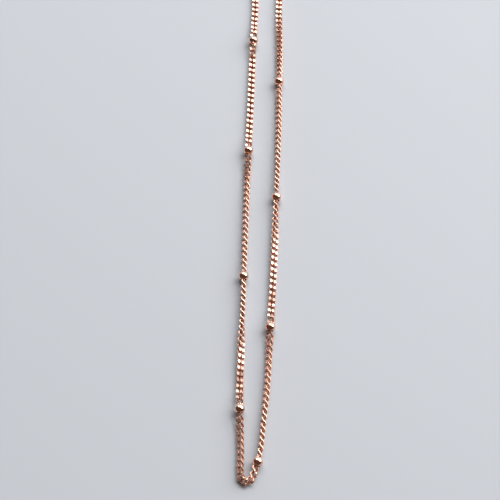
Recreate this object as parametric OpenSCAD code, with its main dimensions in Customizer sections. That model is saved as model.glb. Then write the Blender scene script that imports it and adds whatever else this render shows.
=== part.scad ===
// Fine beaded curb chain necklace, lying as one closed loop on a flat surface.
// The surface is z = 0 and the origin is below the middle of the loop.

/* [Chain] */
// Width of the flat curb chain
chain_w = 1.5; // [1.4:0.02:1.58]
// Thickness of the flat curb chain
chain_t = 0.86; // [0.8:0.02:0.9]
// Width of the slim link that runs through a bead
neck_w = 0.96; // [0.9:0.02:1]
// Thickness of the slim link that runs through a bead
neck_t = 0.56; // [0.5:0.02:0.6]

/* [Beads] */
// Diameter of a bead
bead_d = 2.2; // [2.1:0.05:2.3]
// Diameter of the hole drilled through a bead
bore_d = 1.26; // [1.22:0.02:1.3]
// Chain length from one bead to the next
bead_pitch = 29.7; // [29:0.1:30]
// Chain length round the tip, between the two lowest beads
tip_pitch = 20.6; // [20:0.1:21]

/* [Jump rings and clasp] */
// Centre-line diameter of a jump ring
ring_d = 2.8; // [2.7:0.05:2.9]
// Wire diameter of a jump ring
ring_wire = 0.5; // [0.44:0.02:0.52]
// Angle at which the jump rings lean on the surface
ring_lean = 45; // [42:1:48]
// Centre-line diameter of the clasp's ring
clasp_d = 4.4; // [4.3:0.05:4.6]
// Wire diameter of the clasp's ring
clasp_wire = 1; // [0.9:0.02:1.04]
// Centre-line diameter of the eye on the clasp
eye_d = 1.4; // [1.36:0.02:1.5]
// Wire diameter of the eye on the clasp
eye_wire = 0.44; // [0.4:0.02:0.46]

/* [Hidden] */
left_bead_count = 7;
right_bead_count = 8;
bead_count = left_bead_count + right_bead_count;

function bead_name(i) = str("bead_", i < 10 ? "0" : "", i);

rose_gold = [0.85, 0.6, 0.5];
fit_gap = 0.1;
bead_z = bead_d / 2;

// Plan of the chain's centre line in x and y. The left side runs from the clasp down to the tip and round
// it to the bead beside the tip, and the right side runs on from that bead back to the clasp.
left_route = [
  [-5.5, 99.1], [-14, 97], [-22.5, 91.5], [-28.9, 82.7], [-31.5, 72], [-30.2, 60.5], [-25.8, 50],
  [-19, 41], [-12, 33.2], [-6.4, 26], [-3.5, 20], [-2.9, 15],
  [-3.1, 8], [-3.4, 2], [-3.9, -11.5], [-4.4, -24], [-4.7, -31], [-5.2, -47], [-5.5, -57], [-5.8, -68],
  [-6.2, -80], [-6.2, -87], [-6, -95],
  [-6, -99.4], [-5.8, -100.6], [-5, -101], [-4.1, -100.8], [-3.5, -99.9], [-3.1, -98.6], [-2.6, -97]
];
right_route = [
  [-2.6, -97], [-2.1, -94.6], [-1.5, -89.4], [-0.6, -80.4], [0, -70], [0.5, -62], [1, -52],
  [1.6, -39], [1.9, -30], [2.3, -18], [2.5, -8], [2.7, 1], [2.7, 10], [2.8, 15],
  [3.4, 20], [6.2, 26], [11.8, 33.2], [18.8, 41], [25.6, 50], [30, 60.5], [31.3, 72], [28.8, 82.7],
  [22.5, 91.5], [14, 97], [5.4, 99.1]
];

// Slow twist of the flat chain: distance from the bead beside the tip, negative on the left side, and roll
// in degrees, where 0 lies flat and 90 stands on edge.
twist = [
  [-230, 135], [-222, 180], [-120, 180], [-86, 183], [-81, 172], [-77.5, 153], [-74.5, 141], [-72, 128],
  [-69, 120], [-60, 116], [-57, 109], [-50, 103], [-44, 100], [-41, 92], [-38.5, 79], [-37, 65],
  [-35.8, 51], [-34.5, 39], [-33, 29], [-30, 19], [-27.5, 4], [-25, -8], [-22.5, -20], [-20, -30],
  [-17, -40], [-14, -45], [-9, -48], [-6.5, -40], [-5, -35], [-3, -50], [0, -85], [3, -105], [10, -104],
  [14, -117], [19, -116], [23, -126], [27, -145], [32, -172], [37, -188], [46, -205], [51, -228],
  [56, -250], [65, -277], [70, -290], [76, -300], [92, -310], [112, -360], [210, -360], [219, -405]
];

// The smooth line through the route's points
last = len(left_route) + len(right_route) - 2;
meeting = len(left_route) - 1;
route = [for (i = [0:last]) i <= meeting ? left_route[i] : right_route[i - meeting]];
chord = [for (i = [0:last - 1]) norm(route[i + 1] - route[i])];
way = [for (i = [0:last - 1]) (route[i + 1] - route[i]) / chord[i]];
heading = [for (i = [0:last])
  i == 0 ? way[0]
  : i == last ? way[last - 1]
  : (way[i - 1] * chord[i] + way[i] * chord[i - 1]) / (chord[i - 1] + chord[i])];

function smooth(i, t) =
  (2 * t ^ 3 - 3 * t ^ 2 + 1) * route[i]
  + (t ^ 3 - 2 * t ^ 2 + t) * chord[i] * heading[i]
  + (3 * t ^ 2 - 2 * t ^ 3) * route[i + 1]
  + (t ^ 3 - t ^ 2) * chord[i] * heading[i + 1];

steps = 12;
line = [for (i = [0:last * steps])
  i == last * steps ? route[last]
  : smooth(floor(i / steps), (i % steps) / steps)];
travel = [for (i = 0, s = 0; i <= last * steps;
               s = s + (i < last * steps ? norm(line[i + 1] - line[i]) : 0), i = i + 1) s];
middle = travel[meeting * steps];
left_end = -middle;
right_end = travel[last * steps] - middle;
line_x = [for (i = [0:last * steps]) [travel[i] - middle, line[i][0]]];
line_y = [for (i = [0:last * steps]) [travel[i] - middle, line[i][1]]];

// Beads, counted from the clasp down the left side, round the tip and up the right side
function even_place(i) =
  i <= left_bead_count ? -tip_pitch - bead_pitch * (left_bead_count - i)
  : bead_pitch * (i - left_bead_count - 1);
// Beads that sit a little off their even spacing
bead_shift = [[4, 0], [5, -0.5], [6, 0.3], [7, 0], [8, 0], [9, -0.8], [10, 0]];
function bead_at(i) = even_place(i) + lookup(i, bead_shift);
bead_places = [for (i = [1:bead_count]) bead_at(i)];
function from_bead(u) = min([for (b = bead_places) abs(u - b)]);

// Cross section of the chain, a flat bar with bevelled edges
bevel_x = 0.96;
bevel_y = 0.7;
function section(w, t) = [for (q = [[1, bevel_y], [bevel_x, 1], [-bevel_x, 1], [-1, bevel_y],
                                    [-1, -bevel_y], [-bevel_x, -1], [bevel_x, -1], [1, -bevel_y]])
  [q[0] * w / 2, q[1] * t / 2]];
sides = 8;
bore_half = sqrt((bead_d / 2) ^ 2 - (bore_d / 2) ^ 2);
full_from = bead_d / 2 + 0.2;
function in_bore(u) = from_bead(u) < (bore_half + full_from) / 2;
function slice(u) = in_bore(u) ? section(neck_w, neck_t) : section(chain_w, chain_t);
function roll(u) = lookup(u, twist);

// Height of the centre line: the chain lies on the surface, and rises to the beads' bores and to the rings
rise = 5;
ring_z = ring_wire / 2 + ring_d / 2 * sin(ring_lean);
function lying(u) = max([for (q = slice(u)) q[0] * sin(roll(u)) + q[1] * cos(roll(u))]);
function ease(d) =
  d <= full_from ? 1
  : d >= rise ? 0
  : (1 + cos(180 * (d - full_from) / (rise - full_from))) / 2;
function to_end(u) = min(u - left_end, right_end - u);
function height(u) =
  let (k = ease(from_bead(u)), e = ease(to_end(u)))
  e > k ? lying(u) + (ring_z - lying(u)) * e : lying(u) + (bead_z - lying(u)) * k;
function centre(u) = [lookup(u, line_x), lookup(u, line_y), height(u)];

probe = 0.2;
function along(u) =
  let (d = centre(min(u + probe, right_end)) - centre(max(u - probe, left_end)))
  d / norm(d);
function ring_points(u) =
  let (f = along(u), level = [f[1], -f[0], 0] / norm([f[0], f[1]]), up = cross(level, f), a = roll(u))
  [for (q = slice(u)) centre(u)
    + level * (q[0] * cos(a) - q[1] * sin(a)) + up * (q[0] * sin(a) + q[1] * cos(a))];

// Where the chain's outline is drawn: close together at the beads and in the tip
near = [-rise, -full_from, -bore_half, bore_half, full_from, rise];
between = [10, 14.8, 19.7];
tip_step = 0.6;
tip_from = -9.6;
left_stations = concat(
  [for (d = [0, 1.2, 5, 11, 17]) left_end + d],
  [for (i = [1:left_bead_count - 1], d = concat(near, between)) bead_at(i) + d],
  [for (d = concat(near, [8])) bead_at(left_bead_count) + d],
  [for (u = [tip_from:tip_step:-full_from - tip_step / 2]) u],
  [-full_from, -bore_half, -fit_gap / 2]
);
right_stations = concat(
  [fit_gap / 2, bore_half, full_from, rise], between,
  [for (i = [left_bead_count + 2:bead_count - 1], d = concat(near, between)) bead_at(i) + d],
  [for (d = near) bead_at(bead_count) + d],
  [for (d = [1.2, 0]) right_end - d]
);

module tube(stations) {
  n = len(stations);
  polyhedron(
    points = [for (u = stations) each ring_points(u)],
    faces = concat(
      [[for (k = [0:sides - 1]) k]],
      [[for (k = [sides - 1:-1:0]) (n - 1) * sides + k]],
      [for (i = [0:n - 2], k = [0:sides - 1])
        [i * sides + k, (i + 1) * sides + k, i * sides + (k + 1) % sides]],
      [for (i = [0:n - 2], k = [0:sides - 1])
        [i * sides + (k + 1) % sides, (i + 1) * sides + k, (i + 1) * sides + (k + 1) % sides]]
    ),
    convexity = 10
  );
}

module chain_left() {
  color(rose_gold) tube(left_stations);
}

module chain_right() {
  color(rose_gold) tube(right_stations);
}

// A round bead with its hole along the chain
module bead(i) {
  u = bead_at(i);
  f = along(u);
  color(rose_gold)
    translate([centre(u)[0], centre(u)[1], bead_z])
      rotate([0, 90, atan2(f[1], f[0])])
        difference() {
          sphere(d = bead_d, $fn = 48);
          cylinder(d = bore_d, h = bead_d + 1, center = true, $fn = 48);
        }
}

// A ring of round wire lying in the xy plane
module wire_ring(d, wire) {
  rotate_extrude($fn = 64) translate([d / 2, 0]) circle(d = wire, $fn = 32);
}

// The clasp sits between the chain's ends, with its eye on the left. Each jump ring reaches just past the
// wire that it holds.
end_y = left_route[0][1];
ring_reach = ring_d / 2 + ring_wire / 2 + fit_gap;
left_ring_x = left_route[0][0] + ring_reach;
right_ring_x = right_route[len(right_route) - 1][0] - ring_reach;
eye_x = left_ring_x + ring_d / 2 + eye_d / 2 - eye_wire / 2 - ring_wire / 2 - fit_gap;
clasp_x = eye_x + eye_d / 2 + clasp_d / 2 + clasp_wire / 2 - fit_gap;
knob_d = 0.6;
knob_h = 0.7;
knob_angle = -60;

module jump_ring(x) {
  color(rose_gold)
    translate([x, end_y, ring_z]) rotate([ring_lean, 0, 0]) wire_ring(ring_d, ring_wire);
}

module ring_left() {
  jump_ring(left_ring_x);
}

module ring_right() {
  jump_ring(right_ring_x);
}

module clasp() {
  color(rose_gold)
    translate([0, end_y, ring_z])
      union() {
        translate([clasp_x, 0, 0]) wire_ring(clasp_d, clasp_wire);
        translate([eye_x, 0, 0]) rotate([-ring_lean, 0, 0]) wire_ring(eye_d, eye_wire);
        translate([clasp_x, 0, 0]) rotate([0, 0, knob_angle])
          translate([clasp_d / 2 + clasp_wire / 2 - fit_gap, 0, 0])
            rotate([0, 90, 0]) cylinder(d = knob_d, h = knob_h, $fn = 32);
      }
}

chain_left();
chain_right();
for (i = [1:bead_count]) bead(i);
ring_left();
ring_right();
clasp();
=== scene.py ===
"""Beaded curb chain necklace lying on a pale surface.

All lengths are in metres, in the frame that the CAD source has.
"""

import math

import bpy
import numpy as np
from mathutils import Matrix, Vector


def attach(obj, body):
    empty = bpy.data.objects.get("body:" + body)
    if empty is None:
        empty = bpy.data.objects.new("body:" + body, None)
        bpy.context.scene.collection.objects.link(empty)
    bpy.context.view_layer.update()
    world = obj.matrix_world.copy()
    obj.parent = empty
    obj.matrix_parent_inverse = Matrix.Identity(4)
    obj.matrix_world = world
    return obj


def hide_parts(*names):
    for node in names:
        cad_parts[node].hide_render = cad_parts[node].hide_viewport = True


MM = 0.001

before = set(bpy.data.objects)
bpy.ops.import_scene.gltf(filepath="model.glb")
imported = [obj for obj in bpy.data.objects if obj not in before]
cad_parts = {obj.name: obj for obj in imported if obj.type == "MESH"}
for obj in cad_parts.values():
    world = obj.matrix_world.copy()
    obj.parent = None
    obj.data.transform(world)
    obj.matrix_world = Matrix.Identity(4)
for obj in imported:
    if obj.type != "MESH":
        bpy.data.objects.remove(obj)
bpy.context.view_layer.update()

# Sizes, as in the CAD source
CHAIN_WIDTH = 1.5 * MM
CHAIN_THICKNESS = 0.86 * MM
BEAD_D = 2.2 * MM
BORE_D = 1.26 * MM
BEAD_PITCH = 29.7 * MM
TIP_PITCH = 20.6 * MM
BEAD_Z = BEAD_D / 2
LEFT_BEADS, RIGHT_BEADS = 7, 8
RING_D, RING_WIRE, RING_LEAN = 2.8 * MM, 0.5 * MM, math.radians(45)
RING_Z = RING_WIRE / 2 + RING_D / 2 * math.sin(RING_LEAN)
BEVEL_X, BEVEL_Y = 0.96, 0.7  # corners of the chain's outline, as shares of its half sizes
BEAD_MARGIN = 0.2 * MM
FULL_FROM = BEAD_D / 2 + BEAD_MARGIN  # up to here the chain has the height of the bead or the ring
RISE = 5 * MM  # and from here on it rests on the surface

# Plan of the chain's centre line, the same points as in the CAD source
LEFT_ROUTE = [
    (-.0055, .0991), (-.014, .097), (-.0225, .0915), (-.0289, .0827), (-.0315, .072),
    (-.0302, .0605), (-.0258, .05), (-.019, .041), (-.012, .0332), (-.0064, .026),
    (-.0035, .02), (-.0029, .015), (-.0031, .008), (-.0034, .002), (-.0039, -.0115),
    (-.0044, -.024), (-.0047, -.031), (-.0052, -.047), (-.0055, -.057), (-.0058, -.068),
    (-.0062, -.08), (-.0062, -.087), (-.006, -.095), (-.006, -.0994), (-.0058, -.1006),
    (-.005, -.101), (-.0041, -.1008), (-.0035, -.0999), (-.0031, -.0986), (-.0026, -.097),
]
RIGHT_ROUTE = [
    (-.0026, -.097), (-.0021, -.0946), (-.0015, -.0894), (-.0006, -.0804), (0, -.07),
    (.0005, -.062), (.001, -.052), (.0016, -.039), (.0019, -.03), (.0023, -.018),
    (.0025, -.008), (.0027, .001), (.0027, .01), (.0028, .015), (.0034, .02),
    (.0062, .026), (.0118, .0332), (.0188, .041), (.0256, .05), (.03, .0605),
    (.0313, .072), (.0288, .0827), (.0225, .0915), (.014, .097), (.0054, .0991),
]
# Distance along the chain from the bead beside the tip in mm, and roll in degrees
TWIST = [
    (-230, 135), (-222, 180), (-120, 180), (-86, 183), (-81, 172), (-77.5, 153), (-74.5, 141),
    (-72, 128), (-69, 120), (-60, 116), (-57, 109), (-50, 103), (-44, 100), (-41, 92),
    (-38.5, 79), (-37, 65), (-35.8, 51), (-34.5, 39), (-33, 29), (-30, 19), (-27.5, 4),
    (-25, -8), (-22.5, -20), (-20, -30), (-17, -40), (-14, -45), (-9, -48), (-6.5, -40),
    (-5, -35), (-3, -50), (0, -85), (3, -105), (10, -104), (14, -117), (19, -116), (23, -126),
    (27, -145), (32, -172), (37, -188), (46, -205), (51, -228), (56, -250), (65, -277),
    (70, -290), (76, -300), (92, -310), (112, -360), (210, -360), (219, -405),
]
TWIST_U = [u * MM for u, _ in TWIST]
TWIST_ROLL = [math.radians(r) for _, r in TWIST]
STEPS = 12  # parts of the line between two points of the plan
BEAD_SHIFT = {5: -0.5 * MM, 6: 0.3 * MM, 9: -0.8 * MM}  # beads that sit off their even spacing


# The line that the chain follows
def smooth_line():
    """Points of a smooth line through the plan, and how far along the chain each of them is."""
    pts = np.array(LEFT_ROUTE + RIGHT_ROUTE[1:], float)
    step = pts[1:] - pts[:-1]
    chord = np.linalg.norm(step, axis=1)
    way = step / chord[:, None]
    heading = np.empty_like(pts)
    heading[0], heading[-1] = way[0], way[-1]
    both = way[:-1] * chord[1:, None] + way[1:] * chord[:-1, None]
    heading[1:-1] = both / (chord[1:] + chord[:-1])[:, None]
    out = []
    for i in range(len(chord)):
        for k in range(STEPS):
            t = k / STEPS
            out.append(
                (2 * t**3 - 3 * t**2 + 1) * pts[i]
                + (t**3 - 2 * t**2 + t) * chord[i] * heading[i]
                + (3 * t**2 - 2 * t**3) * pts[i + 1]
                + (t**3 - t**2) * chord[i] * heading[i + 1]
            )
    out.append(pts[-1])
    line = np.array(out)
    run = np.concatenate([[0], np.cumsum(np.linalg.norm(np.diff(line, axis=0), axis=1))])
    return line, run - run[(len(LEFT_ROUTE) - 1) * STEPS]


LINE, TRAVEL = smooth_line()
LEFT_END, RIGHT_END = TRAVEL[0], TRAVEL[-1]


def bead_place(i):
    """Distance of bead i along the chain. Bead 1 is the first one from the left end."""
    if i <= LEFT_BEADS:
        even = -TIP_PITCH - BEAD_PITCH * (LEFT_BEADS - i)
    else:
        even = BEAD_PITCH * (i - LEFT_BEADS - 1)
    return even + BEAD_SHIFT.get(i, 0)


BEAD_AT = [bead_place(i) for i in range(1, LEFT_BEADS + RIGHT_BEADS + 1)]


def roll(u):
    return float(np.interp(u, TWIST_U, TWIST_ROLL))


def ease(d):
    """From 1 near a bead or a ring down to 0 where the chain rests on the surface."""
    if d <= FULL_FROM:
        return 1.0
    if d >= RISE:
        return 0.0
    return (1 + math.cos(math.pi * (d - FULL_FROM) / (RISE - FULL_FROM))) / 2


def lying(u):
    """Height of the centre line where the rolled chain rests on the surface."""
    w, t, a = CHAIN_WIDTH / 2, CHAIN_THICKNESS / 2, roll(u)
    s, c = abs(math.sin(a)), abs(math.cos(a))
    return max(w * s + BEVEL_Y * t * c, BEVEL_X * w * s + t * c)


def height(u):
    """Height of the centre line, which rises to the beads' bores and to the jump rings."""
    k = ease(min(abs(u - b) for b in BEAD_AT))
    e = ease(min(u - LEFT_END, RIGHT_END - u))
    if e > k:
        return lying(u) + (RING_Z - lying(u)) * e
    return lying(u) + (BEAD_Z - lying(u)) * k


def centre(u):
    x, y = np.interp(u, TRAVEL, LINE[:, 0]), np.interp(u, TRAVEL, LINE[:, 1])
    return np.array([x, y, height(u)])


def placing(u, half, turn):
    """4x4 of a link whose ends hold its neighbours half a pitch before and after u."""
    a, b = centre(max(u - half, LEFT_END)), centre(min(u + half, RIGHT_END))
    f = (b - a) / np.linalg.norm(b - a)
    level = np.array([f[1], -f[0], 0]) / math.hypot(f[0], f[1])
    up = np.cross(level, f)
    m = np.eye(4)
    m[:3, 0] = f
    m[:3, 1] = level * math.cos(turn) + up * math.sin(turn)
    m[:3, 2] = np.cross(f, m[:3, 1])
    m[:3, 3] = (a + b) / 2
    return m


# Sizes of the links. A and B are half the length and half the width of the wire's centre line.
LINK_WIDE, LINK_THICK = 0.46 * MM, 0.44 * MM  # the curb link's wire, pressed a little flat
LINK_A = 0.97 * MM
LINK_B = (CHAIN_WIDTH - LINK_WIDE) / 2
LINK_LIFT = 0.37 * MM  # how far the wire swings to both faces
LINK_LEAD = -0.6  # below 0 the wire is highest nearer to the link's middle
LINK_SPREAD = 0.08 * MM  # how much wider the wire is pressed at its flats
HAND = -1  # which way the links are twisted
PITCH = 1.32 * MM

THROUGH_WIDE, THROUGH_THICK = 0.36 * MM, 0.32 * MM  # the slim link through a bead
THROUGH_A, THROUGH_B, THROUGH_LIFT = 1.25 * MM, 0.31 * MM, 0.11 * MM
THROUGH_SQUARE = 0.8  # below 1 the loop is squarer than an ellipse
THROUGH_HALF = 1.2 * MM  # half the stretch of the line that it takes its direction from
THROUGH_AT = 1.76 * MM  # from a bead's middle to the first full link

END_A, END_B, END_WIRE = 1.0 * MM, 0.58 * MM, 0.34 * MM
END_REACH = 0.96 * MM  # how far the end link goes on past the chain's end, round the ring's wire
END_ROLL = math.radians(135)  # across the jump ring

LINK_RINGS, LINK_SIDES = 36, 12
FLAT_HALF = math.radians(14)  # half the angle of the strip over the wire's top where it isn't cut
SMALL = 1e-4  # step in t for the path's direction
HIDDEN_DEPTH = 0.75  # share of the way to the chain's middle where the wire is fully hidden


def curb_path(a, b, lift=0.0, square=1.0, lead=0.0):
    """Centre line of a link's wire, once round for t from 0 to 2 pi."""
    def path(t):
        c, s = math.cos(t), math.sin(t)
        return np.array([
            a * math.copysign(abs(c) ** square, c),
            b * math.copysign(abs(s) ** square, s),
            HAND * lift * math.sin(2 * t) * (1 + lead * math.cos(2 * t)),
        ])

    return path


def wire_loop(path, wide, thick, face=None, spread=0.0):
    """Vertices and quads of a closed wire along path(t), and which of the quads lie in a cut face.

    Where the wire passes z = face or z = -face it is cut flat. Where it is pressed it is wider by
    the spread.
    """
    t = np.arange(LINK_RINGS) * 2 * math.pi / LINK_RINGS
    p = np.array([path(x) for x in t])
    way = np.array([path(x + SMALL) for x in t]) - np.array([path(x - SMALL) for x in t])
    way /= np.linalg.norm(way, axis=1)[:, None]
    e1 = np.stack([way[:, 1], -way[:, 0], np.zeros(LINK_RINGS)], axis=1)
    e1 /= np.linalg.norm(e1, axis=1)[:, None]
    e2 = np.cross(way, e1)
    e2 *= np.sign(e2[:, 2])[:, None]
    rt = thick / 2
    half_ring = LINK_SIDES // 2
    verts, cut_top, cut_low = [], [], []
    for i in range(LINK_RINGS):
        rw = (wide + spread * math.sin(2 * t[i]) ** 2) / 2
        top = low = FLAT_HALF
        is_top = is_low = False
        if face:
            s_top = (face - p[i, 2]) / (rt * e2[i, 2])
            s_low = (face + p[i, 2]) / (rt * e2[i, 2])
            if s_top < math.cos(FLAT_HALF):
                top, is_top = math.acos(max(s_top, 0)), True
            if s_low < math.cos(FLAT_HALF):
                low, is_low = math.acos(max(s_low, 0)), True
        cut_top.append(is_top)
        cut_low.append(is_low)
        q = math.pi / 2
        one_side = np.linspace(-q + low, q - top, half_ring)
        other_side = np.linspace(q + top, 3 * q - low, half_ring)
        for a in [*one_side, *other_side]:
            verts.append(p[i] + rw * math.cos(a) * e1[i] + rt * math.sin(a) * e2[i])
    quads, flat = [], []
    n = LINK_SIDES
    for i in range(LINK_RINGS):
        j = (i + 1) % LINK_RINGS
        for k in range(n):
            m = (k + 1) % n
            quads.append((j * n + k, j * n + m, i * n + m, i * n + k))
            if k == half_ring - 1:  # between the two sides, at the top
                flat.append(cut_top[i] and cut_top[j])
            elif k == n - 1:  # and at the bottom
                flat.append(cut_low[i] and cut_low[j])
            else:
                flat.append(False)
    return np.array(verts), np.array(quads), np.array(flat)


LINKS = {
    "curb": wire_loop(curb_path(LINK_A, LINK_B, LINK_LIFT, lead=LINK_LEAD),
                      LINK_WIDE, LINK_THICK, CHAIN_THICKNESS / 2, LINK_SPREAD),
    "through": wire_loop(curb_path(THROUGH_A, THROUGH_B, THROUGH_LIFT, THROUGH_SQUARE),
                         THROUGH_WIDE, THROUGH_THICK),
    "end": wire_loop(curb_path(END_A, END_B), END_WIRE, END_WIRE),
}


def link_places(start, stop):
    """Distances of the full links between two fixed places, spaced evenly at about the pitch."""
    n = max(1, round((stop - start) / PITCH))
    return [start + (stop - start) * k / n for k in range(n + 1)]


def chain_links(side):
    """(kind, distance, half pitch, roll) of every link of the left or the right node."""
    if side == "left":
        beads = BEAD_AT[:LEFT_BEADS]
        end_link = LEFT_END + END_A
        spans = [(end_link - END_REACH + PITCH, beads[0] - THROUGH_AT)]
        spans += [(a + THROUGH_AT, b - THROUGH_AT) for a, b in zip(beads, beads[1:])]
        spans += [(beads[-1] + THROUGH_AT, -THROUGH_AT)]
    else:
        beads = BEAD_AT[LEFT_BEADS:]
        end_link = RIGHT_END - END_A
        spans = [(a + THROUGH_AT, b - THROUGH_AT) for a, b in zip(beads, beads[1:])]
        spans += [(beads[-1] + THROUGH_AT, end_link + END_REACH - PITCH)]
    out = [("end", end_link, END_A, END_ROLL)]
    out += [("through", b, THROUGH_HALF, roll(b)) for b in beads]
    for a, b in spans:
        at = link_places(a, b)
        half = (at[1] - at[0]) / 2
        out += [("curb", u, half, roll(u)) for u in at]
    return out


def mesh_object(name, verts, quads, sharp_pairs=None, shade_share=None):
    """An object with smooth quads, sharp edges at those vertex pairs, and a per-vertex share of
    painted shade.
    """
    me = bpy.data.meshes.new(name)
    me.vertices.add(len(verts))
    me.vertices.foreach_set("co", np.asarray(verts, np.float32).ravel())
    me.loops.add(quads.size)
    me.loops.foreach_set("vertex_index", quads.ravel().astype(np.int32))
    me.polygons.add(len(quads))
    me.polygons.foreach_set("loop_start", np.arange(len(quads), dtype=np.int32) * 4)
    me.update(calc_edges=True)
    me.validate()
    me.polygons.foreach_set("use_smooth", np.ones(len(me.polygons), bool))
    if sharp_pairs is not None:
        edges = np.empty(len(me.edges) * 2, np.int32)
        me.edges.foreach_get("vertices", edges)
        edges = np.sort(edges.reshape(-1, 2), axis=1).astype(np.int64)
        size = len(verts)
        keys = np.sort(np.asarray(sharp_pairs, np.int64), axis=1)
        mark = np.isin(edges[:, 0] * size + edges[:, 1], keys[:, 0] * size + keys[:, 1])
        layer = me.attributes.new("sharp_edge", "BOOLEAN", "EDGE")
        layer.data.foreach_set("value", mark)
    # the share of painted shade at each vertex
    if shade_share is not None:
        layer = me.attributes.new("shade_share", "FLOAT", "POINT")
        layer.data.foreach_set("value", np.asarray(shade_share, np.float32))
    me.update()
    o = bpy.data.objects.new(name, me)
    bpy.context.scene.collection.objects.link(o)
    return o


def sharp_edges(quads, flat):
    """Vertex pairs between a cut face and the round of the wire."""
    sides = {}
    for q, f in zip(quads, flat):
        for a, b in zip(q, np.roll(q, -1)):
            sides.setdefault((min(a, b), max(a, b)), []).append(bool(f))
    return np.array([k for k, v in sides.items() if len(set(v)) > 1], int)


CURB_SHARP = sharp_edges(*LINKS["curb"][1:])


def hidden_share(verts):
    """How hidden in the chain each of a link's vertices is, from 0 at the outside up to 1. It is
    the share of painted shade.
    """
    across = (np.abs(verts[:, 1]) / (CHAIN_WIDTH / 2)) ** 2
    out = np.maximum(np.abs(verts[:, 2]) / (CHAIN_THICKNESS / 2), across)
    return np.clip((1 - out) / HIDDEN_DEPTH, 0, 1)


def build_chain(name, side):
    verts, quads, sharp, shade_share = [], [], [], []
    base = 0
    for kind, u, half, turn in chain_links(side):
        v, q, _ = LINKS[kind]
        m = placing(u, half, turn)
        if kind == "end":
            m[:3, 3] += m[:3, 0] * (-END_REACH if side == "left" else END_REACH)
        placed = v @ m[:3, :3].T + m[:3, 3]
        # a link that would dip into the surface is lifted to rest on it
        placed[:, 2] -= min(placed[:, 2].min(), 0)
        verts.append(placed)
        quads.append(q + base)
        if kind == "curb":
            sharp.append(CURB_SHARP + base)
        # painted shade: each curb link's vertices get a share of it from how hidden they are
        shade_share.append(hidden_share(v) if kind == "curb" else np.zeros(len(v)))
        base += len(v)
    return mesh_object(name, np.concatenate(verts), np.concatenate(quads),
                       np.concatenate(sharp), np.concatenate(shade_share))


# Beads
LIP = 0.07 * MM  # radius of the round at the bore's mouth
BEAD_AROUND = 72
BALL_POINTS, LIP_POINTS, BORE_POINTS = 40, 6, 5
AIM = 0.2 * MM  # how far before and after a bead the line is read for its direction


def turned_shape(name, profile, around, matrix):
    """A closed profile of (along, radius) turned about the x axis."""
    n = len(profile)
    prof = np.array(profile)
    verts = []
    for k in range(around):
        a = 2 * math.pi * k / around
        ring = [prof[:, 0], prof[:, 1] * math.cos(a), prof[:, 1] * math.sin(a)]
        verts.append(np.stack(ring, axis=1))
    verts = np.concatenate(verts)
    quads = []
    for k in range(around):
        j = (k + 1) % around
        for i in range(n):
            m = (i + 1) % n
            quads.append((k * n + i, k * n + m, j * n + m, j * n + i))
    verts = verts @ matrix[:3, :3].T + matrix[:3, 3]
    return mesh_object(name, verts, np.array(quads))


def bead_profile():
    """Outline of a drilled ball with a rounded lip at each end of its bore."""
    r, b = BEAD_D / 2, BORE_D / 2
    reach = r - LIP
    along = math.sqrt(reach**2 - (b + LIP) ** 2)
    meet = math.atan2(b + LIP, along)

    def lip(x, start, stop):
        return [(x + LIP * math.cos(a), b + LIP + LIP * math.sin(a))
                for a in np.linspace(start, stop, LIP_POINTS)]

    ball = [(r * math.cos(a), r * math.sin(a))
            for a in np.linspace(meet, math.pi - meet, BALL_POINTS)]
    left = lip(-along, math.pi - meet, 1.5 * math.pi)[1:]
    bore = [(x, b) for x in np.linspace(-along, along, BORE_POINTS)[1:-1]]
    right = lip(along, -math.pi / 2, meet)[:-1]
    return ball + left + bore + right


def build_beads():
    out = []
    for i, u in enumerate(BEAD_AT, 1):
        a, b = centre(u - AIM), centre(u + AIM)
        f = (b - a)[:2] / np.linalg.norm((b - a)[:2])
        m = np.eye(4)
        m[:3, 0] = [f[0], f[1], 0]
        m[:3, 1] = [-f[1], f[0], 0]
        m[:3, 3] = [*centre(u)[:2], BEAD_Z]
        o = turned_shape(f"round_bead_{i:02d}", bead_profile(), BEAD_AROUND, m)
        out.append((o, f"bead_{i:02d}"))
    return out


# Materials
ROSE = (0.92, 0.63, 0.51)
# painted shade: the darker, redder colour given to the wire where it is hidden between the links
CREVICE_SHADE = (0.6, 0.28, 0.17)
WORN = (0.9, 0.82, 0.78)  # the darker tone of the same metal, as shares of the base colour
TONE_NOISE, WEAR_NOISE, FINE_NOISE = (260, 4), (1400, 5), (5200, 3)  # scale and detail
TONE_RANGE, WEAR_RANGE = (0.4, 0.7), (0.3, 0.75)
ROUGH_LEAST, ROUGH_MOST = 0.7, 1.5  # as shares of the material's roughness
BUMP_DEPTH = 2e-5


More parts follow.
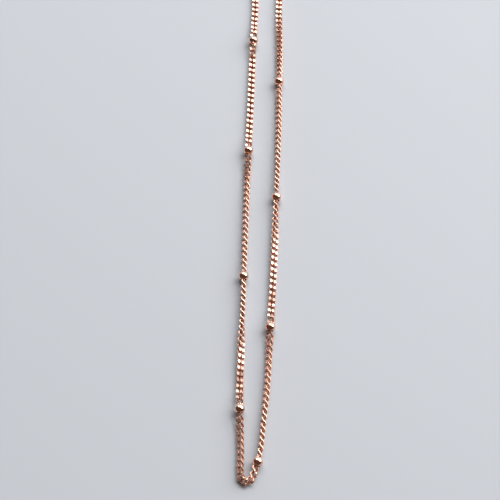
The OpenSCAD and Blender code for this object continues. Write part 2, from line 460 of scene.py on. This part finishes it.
def new_material(name, base, rough, detail, shade_colour=None):
    """Polished metal with a little wear, and painted shade, darker and redder, where a link's wire
    is hidden between the links.
    """
    mat = bpy.data.materials.new(name)
    mat.use_nodes = True
    nt = mat.node_tree
    bsdf = nt.nodes["Principled BSDF"]
    bsdf.inputs["Metallic"].default_value = 1.0
    co = nt.nodes.new("ShaderNodeTexCoord")

    def noise(scale, octaves):
        n = nt.nodes.new("ShaderNodeTexNoise")
        n.inputs["Scale"].default_value = scale
        n.inputs["Detail"].default_value = octaves
        nt.links.new(co.outputs["Object"], n.inputs["Vector"])
        return n.outputs["Fac"]

    def ramp(source, span, values):
        r = nt.nodes.new("ShaderNodeMapRange")
        r.inputs["From Min"].default_value = span[0]
        r.inputs["From Max"].default_value = span[1]
        r.inputs["To Min"].default_value = values[0]
        r.inputs["To Max"].default_value = values[1]
        nt.links.new(source, r.inputs["Value"])
        return r.outputs["Result"]

    tone = noise(*TONE_NOISE)
    mix = nt.nodes.new("ShaderNodeMix")
    mix.data_type = "RGBA"
    mix.inputs["A"].default_value = (*base, 1)
    mix.inputs["B"].default_value = (*(c * w for c, w in zip(base, WORN)), 1)
    nt.links.new(ramp(tone, TONE_RANGE, (0, 1)), mix.inputs["Factor"])
    colour = mix.outputs["Result"]
    if shade_colour:
        # painted shade: the wire is darker and redder where it is hidden between the links, where
        # shade falls
        share = nt.nodes.new("ShaderNodeAttribute")
        share.attribute_name = "shade_share"
        shade_mix = nt.nodes.new("ShaderNodeMix")
        shade_mix.data_type = "RGBA"
        shade_mix.inputs["B"].default_value = (*shade_colour, 1)
        nt.links.new(share.outputs["Fac"], shade_mix.inputs["Factor"])
        nt.links.new(colour, shade_mix.inputs["A"])
        colour = shade_mix.outputs["Result"]
    nt.links.new(colour, bsdf.inputs["Base Color"])
    wear = noise(*WEAR_NOISE)
    nt.links.new(ramp(wear, WEAR_RANGE, (rough * ROUGH_LEAST, rough * ROUGH_MOST)),
                 bsdf.inputs["Roughness"])
    fine = noise(*FINE_NOISE)
    bump = nt.nodes.new("ShaderNodeBump")
    bump.inputs["Strength"].default_value = detail
    bump.inputs["Distance"].default_value = BUMP_DEPTH
    nt.links.new(fine, bump.inputs["Height"])
    nt.links.new(bump.outputs["Normal"], bsdf.inputs["Normal"])
    return mat


chain_metal = new_material("chain_rose_gold", ROSE, rough=0.36, detail=0.1, shade_colour=CREVICE_SHADE)
bead_metal = new_material("bead_rose_gold", ROSE, rough=0.06, detail=0.03)
clasp_metal = new_material("clasp_rose_gold", ROSE, rough=0.1, detail=0.06)

# The pieces. The rings and the clasp are the CAD's own.
chain_left = build_chain("links_left", "left")
chain_right = build_chain("links_right", "right")
for o, node in ((chain_left, "chain_left"), (chain_right, "chain_right")):
    o.data.materials.append(chain_metal)
    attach(o, "root")
    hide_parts(node)
for o, node in build_beads():
    o.data.materials.append(bead_metal)
    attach(o, "root")
    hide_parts(node)
for node in ("ring_left", "ring_right", "clasp"):
    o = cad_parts[node]
    o.data.materials.clear()
    o.data.materials.append(clasp_metal)
    for polygon in o.data.polygons:
        polygon.use_smooth = True

# Floor
FLOOR_SIZE = 3.0
FLOOR_COLOUR, FLOOR_ROUGH = (0.525, 0.567, 0.62, 1), 0.6
bpy.ops.mesh.primitive_plane_add(size=FLOOR_SIZE, location=(0, 0, 0))
floor = bpy.context.object
floor.name = "floor"
floor_mat = bpy.data.materials.new("floor_pale")
floor_mat.use_nodes = True
floor_bsdf = floor_mat.node_tree.nodes["Principled BSDF"]
floor_bsdf.inputs["Base Color"].default_value = FLOOR_COLOUR
floor_bsdf.inputs["Roughness"].default_value = FLOOR_ROUGH
floor.data.materials.append(floor_mat)

# Camera, at the photo's view
scene = bpy.context.scene
scene.view_settings.view_transform = "Standard"
VIEW_ELEVATION = math.radians(65)
VIEW_DISTANCE = 0.2758
FOCAL_PX, PHOTO_SIDE, SENSOR = 1282, 500, 36
TARGET = Vector((-0.0041, -0.050, 0.0))
cam_data = bpy.data.cameras.new("camera")
cam = bpy.data.objects.new("camera", cam_data)
scene.collection.objects.link(cam)
cam_data.sensor_width = SENSOR
cam_data.lens = SENSOR * FOCAL_PX / PHOTO_SIDE
cam_data.clip_start = 0.01
cam_data.clip_end = 20
back = Vector((0, -math.cos(VIEW_ELEVATION), math.sin(VIEW_ELEVATION)))
cam.location = TARGET + back * VIEW_DISTANCE
cam.rotation_mode = "QUATERNION"
cam.rotation_quaternion = (-back).to_track_quat("-Z", "Y")
scene.camera = cam

# Light
LAMP_COLOUR = (1.0, 0.98, 0.96)
LAMP_DISTANCE = 1.6
REAR = Vector((0.3, 0.9, 0.0)).normalized()


def area_light(name, azimuth, elevation, width, tall, power):
    """A lamp at that azimuth (0 is +Y, 90 is +X) and elevation, facing the necklace."""
    a, e = math.radians(azimuth), math.radians(elevation)
    way = Vector((math.sin(a) * math.cos(e), math.cos(a) * math.cos(e), math.sin(e)))
    data = bpy.data.lights.new(name, "AREA")
    data.shape = "RECTANGLE"
    data.size, data.size_y = width, tall
    data.energy = power
    data.color = LAMP_COLOUR
    o = bpy.data.objects.new(name, data)
    o.location = TARGET + way * LAMP_DISTANCE
    o.rotation_mode = "QUATERNION"
    o.rotation_quaternion = way.to_track_quat("Z", "Y")
    scene.collection.objects.link(o)


def room_light(front, rear, axis, start, stop, strength):
    """A plain surrounding that is brighter towards one side."""
    world = bpy.data.worlds.new("room")
    scene.world = world
    world.use_nodes = True
    nt = world.node_tree
    bg = nt.nodes["Background"]
    co = nt.nodes.new("ShaderNodeTexCoord")
    dot = nt.nodes.new("ShaderNodeVectorMath")
    dot.operation = "DOT_PRODUCT"
    dot.inputs[1].default_value = axis
    nt.links.new(co.outputs["Generated"], dot.inputs[0])
    span = nt.nodes.new("ShaderNodeMapRange")
    span.interpolation_type = "SMOOTHSTEP"
    span.inputs["From Min"].default_value = start
    span.inputs["From Max"].default_value = stop
    nt.links.new(dot.outputs["Value"], span.inputs["Value"])
    mix = nt.nodes.new("ShaderNodeMix")
    mix.data_type = "RGBA"
    mix.inputs["A"].default_value = (*front, 1)
    mix.inputs["B"].default_value = (*rear, 1)
    nt.links.new(span.outputs["Result"], mix.inputs["Factor"])
    nt.links.new(mix.outputs["Result"], bg.inputs["Color"])
    bg.inputs["Strength"].default_value = strength


area_light("key", azimuth=60, elevation=33, width=1.44, tall=1.2, power=24.0)
area_light("window", azimuth=12, elevation=48, width=1.6, tall=0.88, power=18.0)
room_light(front=(0.1, 0.06, 0.045), rear=(0.9, 0.9, 0.93), axis=REAR, start=0.2, stop=0.7,
           strength=0.95)

bpy.context.view_layer.update()
